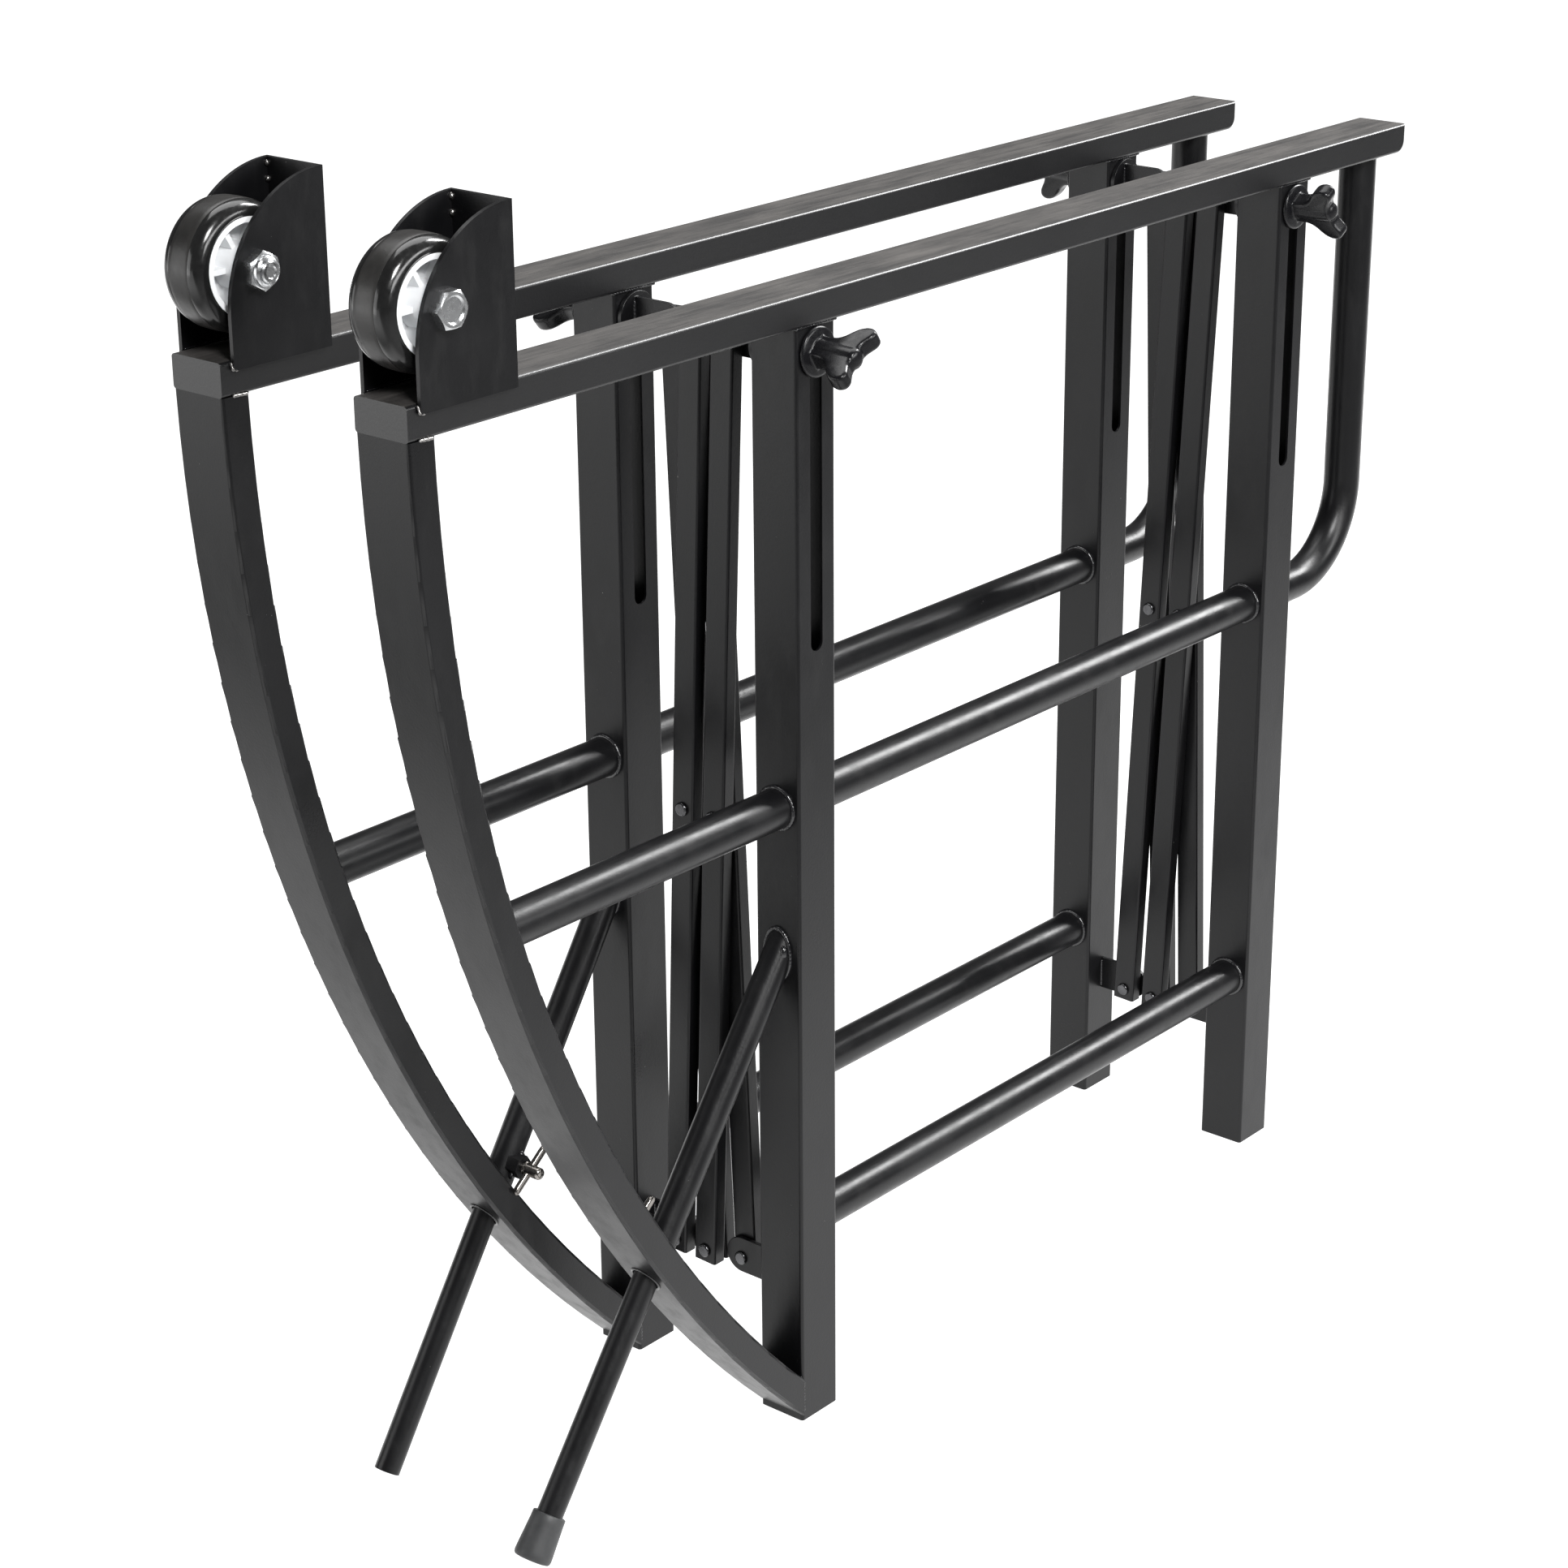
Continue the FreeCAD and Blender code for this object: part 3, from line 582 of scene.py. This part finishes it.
def add_axle(side):
    """Hexagon bolt with its head on the outer plate, and a collared nut and the bolt's end on the inner."""
    out = Vector((0, SIDES[side], 0))
    up = Vector((0, 0, 1))
    face = FRAME_Y + FLAT_W / 2 + BRACKET_T
    inner = FRAME_Y - FLAT_W / 2 - BRACKET_T
    form = Form()
    head_at = Vector((WHEEL_X, SIDES[side] * face, WHEEL_Z))
    nut_at = Vector((WHEEL_X, SIDES[side] * inner, WHEEL_Z))
    form.hexagon(head_at, out, up, HEX_AF, HEAD_H)
    form.lathe(nut_at - (head_at - nut_at).normalized() * -0.5, nut_at - head_at,
               [(-44.0, AXLE_R), (10.9, AXLE_R), (11.7, AXLE_R - 0.8), (11.9, AXLE_R - 2.4),
                (11.2, AXLE_R - 3.0)])
    form.piece(side + "_axle_bolt_turned", side + "_frame", "zinc", [MATERIALS["zinc"]],
               (side + "_axle_bolt",), sharp=25)
    nut = Form()
    way = nut_at - head_at
    nut.hexagon(nut_at, way, up, HEX_AF, 7.0, math.radians(30))
    nut.lathe(nut_at, way, [(6.0, 8.6), (7.7, 8.6), (8.8, 8.3), (9.6, 7.6), (10.0, 6.7), (9.6, 6.1)])
    nut.piece(side + "_axle_nut_turned", side + "_frame", "zinc", [MATERIALS["zinc"]],
              (side + "_axle_nut",), sharp=25)


# ---- legs ----------------------------------------------------------------------------------------
def leg_point(side, along):
    lean = math.radians(LEG_LEAN[side])
    x = POST_FRONT_FACE - along * math.sin(lean)
    return Vector((x, SIDES[side] * FRAME_Y, LEG_TOP_Z[side] - along * math.cos(lean)))


def leg_ring(side, radius, arc):
    """Closed path round the leg's axis where it crosses a curved face of the tube."""
    lean = math.radians(LEG_LEAN[side])
    flat = Vector((math.cos(lean), 0, -math.sin(lean)))
    path = []
    for k in range(48):
        angle = 2 * math.pi * k / 48
        offset = flat * (radius * math.cos(angle)) + Vector((0, radius * math.sin(angle), 0))
        along = 190.0
        for step in range(12):
            point = leg_point(side, along) + offset
            along += (point.x - arc_x(arc, point.z)) / (math.sin(lean) + 0.9)
        path.append(leg_point(side, along) + offset)
    return path


def add_foot():
    """Tapered rubber ferrule with a rolled lower edge."""
    lean = math.radians(LEG_LEAN["near"])
    end = (LEG_TOP_Z["near"] - FOOT_R * math.sin(lean)) / math.cos(lean)
    low = leg_point("near", end)
    back = leg_point("near", 0) - low
    form = Form()
    form.lathe(low, back, [(0.6, 7.0), (0.2, 9.0), (0.5, 10.4), (1.4, 11.2), (3.0, 11.5), (6.0, 11.4),
                           (14.0, 10.9), (24.0, 10.3), (27.6, 10.2), (28.3, 9.9), (28.6, 9.3), (28.6, 8.05),
                           (20.0, 8.02)], sides=72)
    form.piece("near_leg_foot_moulded", "near_leg", "foot_rubber", [MATERIALS["foot_rubber"]],
               ("near_leg_foot",))


def add_thumb_screw(side):
    inward = Vector((0, -SIDES[side], 0))
    at = leg_point(side, SCREW_AT[side])
    lean = math.radians(THUMB_ANGLE)
    form = Form()
    form.lathe(at, inward, [(8.1, 3.2), (8.9, 3.9), (28.6, 3.9), (29.6, 3.8), (30.4, 3.3), (30.8, 2.4),
                            (31.0, 1.0)], sides=48)
    run = Vector((math.cos(lean), 0, math.sin(lean)))
    path = []
    radii = []
    for k in range(33):
        s = -1 + 2 * k / 32
        path.append(at + inward * 21.4 + run * (17.9 * math.sin(s * math.pi / 2)))
        close = math.sqrt(max(0.02, 1 - abs(math.sin(s * math.pi / 2)) ** 14))
        radii.append((1.8 * (0.5 + 0.5 * close), 2.5 * close))
    form.sweep(path, radii, inward, sides=24, square=3.5)
    form.blob(at + inward * 19.0, (4.8, 1.4, 4.8), 7)
    form.piece(side + "_thumb_screw_cast", side + "_thumb_screw", "dark_chrome", [MATERIALS["dark_chrome"]],
               (side + "_thumb_screw",))


# ---- welds ---------------------------------------------------------------------------------------
def circle_x(x, z, radius, y):
    path = []
    for k in range(40):
        angle = 2 * math.pi * k / 40
        path.append(Vector((x, y + radius * math.cos(angle), z + radius * math.sin(angle))))
    return path


def add_welds(side):
    sign = SIDES[side]
    y = sign * FRAME_Y
    outer = sign * (FRAME_Y + FLAT_W / 2)
    inner = sign * (FRAME_Y - FLAT_W / 2)
    under = RAIL_TOP - FLAT_H
    form = Form()
    bright = Form()
    front = POST_X["front"]
    rear = POST_X["rear"]
    half = POST / 2
    off = half + 0.6
    ends = ((front + off, MID_Z), (front - off, MID_Z), (rear - off, MID_Z), (rear + off, MID_Z),
            (front + off, LOW_Z), (rear - off, LOW_Z))
    for k, (x, z) in enumerate(ends):
        form.bead(circle_x(x, z, MID_R + 0.3, y), 1.7, True, seed=k)
    stub = []
    for k in range(40):
        angle = 2 * math.pi * k / 40
        z = MID_Z + (MID_R + 0.3) * math.sin(angle)
        stub.append(Vector((arc_x(ARC_R - FLAT_H, z) + 0.6, y + (MID_R + 0.3) * math.cos(angle), z)))
    form.bead(stub, 1.7, True, seed=9)
    grip = []
    for k in range(40):
        angle = 2 * math.pi * k / 40
        x = HANDLE_X + (MID_R + 0.3) * math.cos(angle)
        grip.append(Vector((x, y + (MID_R + 0.3) * math.sin(angle), under - 0.5)))
    form.bead(grip, 1.6, True, seed=10)
    for k, x in enumerate((front, rear)):
        path = []
        for a, b in ((-1, -1), (1, -1), (1, 1), (-1, 1)):
            path.append(Vector((x + a * (half + 0.1), y + b * (half + 0.1), under - 0.3)))
        form.bead(path, 1.1, True, seed=20 + k)
    # curved tube to the front post
    foot_low = ARC_Z - math.sqrt(ARC_R ** 2 - (ARC_X - POST_FRONT_FACE) ** 2)
    foot_top = ARC_Z - math.sqrt((ARC_R - FLAT_H) ** 2 - (ARC_X - POST_FRONT_FACE) ** 2)
    for k, b in enumerate((-1, 1)):
        form.bead([Vector((POST_FRONT_FACE - 0.2, y + b * (half + 0.8), foot_low + 2)),
                   Vector((POST_FRONT_FACE - 0.2, y + b * (half + 0.8), foot_top - 1))], 1.4, seed=30 + k)
    form.bead([Vector((POST_FRONT_FACE - 0.4, y - half, foot_top)),
               Vector((POST_FRONT_FACE - 0.4, y + half, foot_top))], 1.5, seed=33)
    # curved tube to the rail: front seam, and short beads at the inner corner of the side faces
    corner = arc_x(ARC_R - FLAT_H, under)
    for k, b in enumerate((-1, 1)):
        side_y = y + b * (FLAT_W / 2 + 0.1)
        bright.bead([Vector((corner - 12.0, side_y, under + 0.2)),
                     Vector((corner - 1.5, side_y, under - 0.3))], 1.1, seed=40 + k, ripple=3.0)
    form.bead([Vector((corner + 0.5, y - half, under - 0.5)),
               Vector((corner + 0.5, y + half, under - 0.5))], 1.6, seed=43)
    # wheel bracket: hooked beads at the front lower corners, seams inside, dots in the rear corners
    for k, plate in enumerate((outer, inner)):
        way = 1.0 if plate == outer else -1.0
        lip = plate + sign * way * BRACKET_T
        x = BRACKET_FRONT_X
        bright.bead([Vector((x - 0.5, plate + sign * way * 0.4, RAIL_TOP - 0.4)),
                     Vector((x - 0.5, plate + sign * way * 1.8, BRACKET_LOW_Z + 0.6)),
                     Vector((x + 3.5, lip - sign * way * 0.9, BRACKET_LOW_Z - 0.4))],
                    0.9, seed=50 + k, ripple=3.2)
        form.bead([Vector((x + 1.0, plate - sign * way * 0.3, RAIL_TOP + 0.3)),
                   Vector((BRACKET_REAR_X - 3.0, plate - sign * way * 0.3, RAIL_TOP + 0.3))],
                  0.8, seed=55 + k)
        for j, z in enumerate((808.5, 800.0, 781.0)):
            dot = Vector((BRACKET_REAR_X - BRACKET_T - 0.4, plate - sign * way * 0.5, z))
            bright.blob(dot, (1.5, 1.5, 1.8), 60 + j + 5 * k)
    form.bead([Vector((BRACKET_REAR_X + 0.2, inner, RAIL_TOP + 0.2)),
               Vector((BRACKET_REAR_X + 0.2, outer, RAIL_TOP + 0.2))], 0.9, seed=70)
    # sleeve of the leg: oval bead on the post, bead on the curved tube, rim where the leg leaves it
    lean = math.radians(LEG_LEAN[side])
    oval = []
    for k in range(48):
        angle = 2 * math.pi * k / 48
        oval.append(Vector((POST_FRONT_FACE - 0.5, y + (SLEEVE_R + 0.3) * math.cos(angle),
                            LEG_TOP_Z[side] + (SLEEVE_R / math.sin(lean) + 0.3) * math.sin(angle))))
    form.bead(oval, 1.5, True, seed=80)
    form.blob(Vector((POST_FRONT_FACE - 3.0, y + sign * 7.0, LEG_TOP_Z[side] + 3.0)), (3.2, 2.2, 5.0), 81)
    sleeve_end = leg_ring(side, SLEEVE_R + 0.2, ARC_R - FLAT_H)
    form.bead([p + Vector((0.4, 0, 0.4)) for p in sleeve_end], 1.4, True, seed=82)
    hole_rim = leg_ring(side, LEG_HOLE_R + 0.9, ARC_R)
    form.bead([p - Vector((0.1, 0, 0.1)) for p in hole_rim], 0.9, True, seed=83)
    at = leg_point(side, SCREW_AT[side])
    form.blob(at + Vector((4.5, -sign * 10.0, 5.0)), (2.4, 2.0, 2.6), 84)
    form.blob(at + Vector((-4.5, -sign * 10.0, -5.5)), (2.4, 2.0, 2.6), 85)
    # link brackets to the posts
    root = sign * (FRAME_Y - half)
    weld_low = 80.5
    weld_high = 101.5
    for k, x in enumerate((front, rear)):
        plate_x = x - 3.1 if side == "near" else x + 0.4
        for j, face_x in enumerate((plate_x, plate_x + 3.0)):
            form.bead([Vector((face_x, root, weld_low)),
                       Vector((face_x, root, weld_high))], 1.2, seed=90 + 2 * k + j)
    form.piece(side + "_welds", side + "_frame", "powder_coat", [WELD], sharp=80)
    bright.piece(side + "_bright_welds", side + "_frame", "powder_coat", [BARE_WELD], sharp=80)


def add_slider_welds(station, side):
    """Beads between a slider's flange and its ear."""
    sign = SIDES[side]
    x = POST_X[station] + (0.4 if side == "near" else -3.1)
    face = sign * (FRAME_Y - POST / 2 - 3.3)
    form = Form()
    for k, face_x in enumerate((x, x + 3.0)):
        form.bead([Vector((face_x, face, KNOB_Z - 10)),
                   Vector((face_x, face, KNOB_Z + 10))], 1.1, seed=100 + k)
    slider = station + "_" + side + "_slider"
    form.piece(slider + "_welds", slider, "powder_coat", [WELD], sharp=80)


for side in SIDES:
    add_wheel(side)
    add_axle(side)
    add_thumb_screw(side)
    add_welds(side)
    soften(side + "_wheel_bracket", side + "_frame", 0.55)
    soften(side + "_link_brackets", side + "_frame", 0.5)
    soften(side + "_leg_nut", side + "_frame", 0.5)
    soften(side + "_hub", side + "_wheel", 0.35)
    for station in STATIONS:
        add_knob(station, side)
        add_slider_welds(station, side)
        soften(station + "_" + side + "_slider", station + "_" + side + "_slider", 0.45)
add_foot()


# ---- stage: camera, floor and lights ------------------------------------------------------------
def add_camera():
    """Three-quarter view from the wheel end, a little above the rails."""
    azimuth = math.radians(-49.70)
    elevation = math.radians(21.15)
    roll = math.radians(-0.442)
    back = Vector((math.sin(azimuth) * math.cos(elevation), -math.cos(azimuth) * math.cos(elevation),
                   math.sin(elevation)))
    level = Vector((math.cos(azimuth), math.sin(azimuth), 0.0))
    top = back.cross(level)
    right = level * math.cos(roll) + top * math.sin(roll)
    up = top * math.cos(roll) - level * math.sin(roll)
    data = bpy.data.cameras.new("camera")
    data.sensor_width = 36.0
    data.lens = 81.43
    data.clip_end = 50.0
    camera = bpy.data.objects.new("camera", data)
    rotation = Matrix((right, up, back)).transposed().to_4x4()
    camera.matrix_world = Matrix.Translation((-1.6492, -1.3301, 1.1775)) @ rotation
    bpy.context.scene.collection.objects.link(camera)
    bpy.context.scene.camera = camera


def add_area(name, place, target, size, power, colour=(1, 1, 1)):
    data = bpy.data.lights.new(name, "AREA")
    data.shape = "RECTANGLE"
    data.size = size[0]
    data.size_y = size[1]
    data.energy = power
    data.color = colour
    light = bpy.data.objects.new(name, data)
    light.location = place
    aim = Vector(target) - Vector(place)
    light.rotation_euler = aim.to_track_quat("-Z", "Y").to_euler()
    bpy.context.scene.collection.objects.link(light)


def add_stage():
    """Floor that glows white but goes dark towards -Y and dims in a band round X -1.0, and soft lights.

    The dark parts give the black faces something dark to mirror. Seen from other sides, they show.
    """
    mesh = bpy.data.meshes.new("floor")
    half = 14.0
    corners = [(-half, -half, 0), (half, -half, 0), (half, half, 0), (-half, half, 0)]
    mesh.from_pydata(corners, [], [(0, 1, 2, 3)])
    floor = bpy.data.objects.new("floor", mesh)
    bpy.context.scene.collection.objects.link(floor)
    paper = Shader("floor_paper", Base_Color=(0.2, 0.2, 0.2, 1.0), Roughness=1.0, Specular_IOR_Level=0.0,
                   Emission_Color=(1.0, 1.0, 1.0, 1.0))
    split = paper.node("ShaderNodeSeparateXYZ")
    paper.link(paper.place(), split.inputs["Vector"])
    glow = paper.span(split.outputs["Y"], -0.9, -0.42, 0.04, 1.1)
    lift = paper.span(split.outputs["X"], -1.0, -0.72, 0.1, 1.0)
    ahead = paper.span(split.outputs["X"], -1.9, -1.0, 1.3, 0.1)
    shine = paper.math("MULTIPLY", glow, paper.math("MAXIMUM", lift, ahead))
    paper.link(shine, paper.surface.inputs["Emission Strength"])
    mesh.materials.append(paper.material)
    world = bpy.data.worlds.new("studio")
    world.use_nodes = True
    world.node_tree.nodes["Background"].inputs["Color"].default_value = (1.0, 1.0, 1.0, 1.0)
    world.node_tree.nodes["Background"].inputs["Strength"].default_value = 0.12
    bpy.context.scene.world = world
    bpy.context.scene.view_settings.view_transform = "Standard"
    add_area("side_panel", (0.3, -2.6, 1.35), (0, 0, 0.4), (2.6, 0.6), 50.0)
    add_area("key_panel", (-1.3, -2.4, 2.7), (0, 0, 0.5), (0.9, 0.9), 110.0)
    add_area("rim_panel", (2.3, -0.8, 2.5), (0, 0, 0.6), (0.7, 1.9), 150.0)
    add_area("front_panel", (-2.3, 1.4, 0.9), (-0.3, 0, 0.4), (1.6, 1.2), 14.0)
    add_area("top_panel", (0.4, 0.5, 2.8), (0, 0, 0.4), (2.4, 1.6), 50.0)


add_camera()
add_stage()
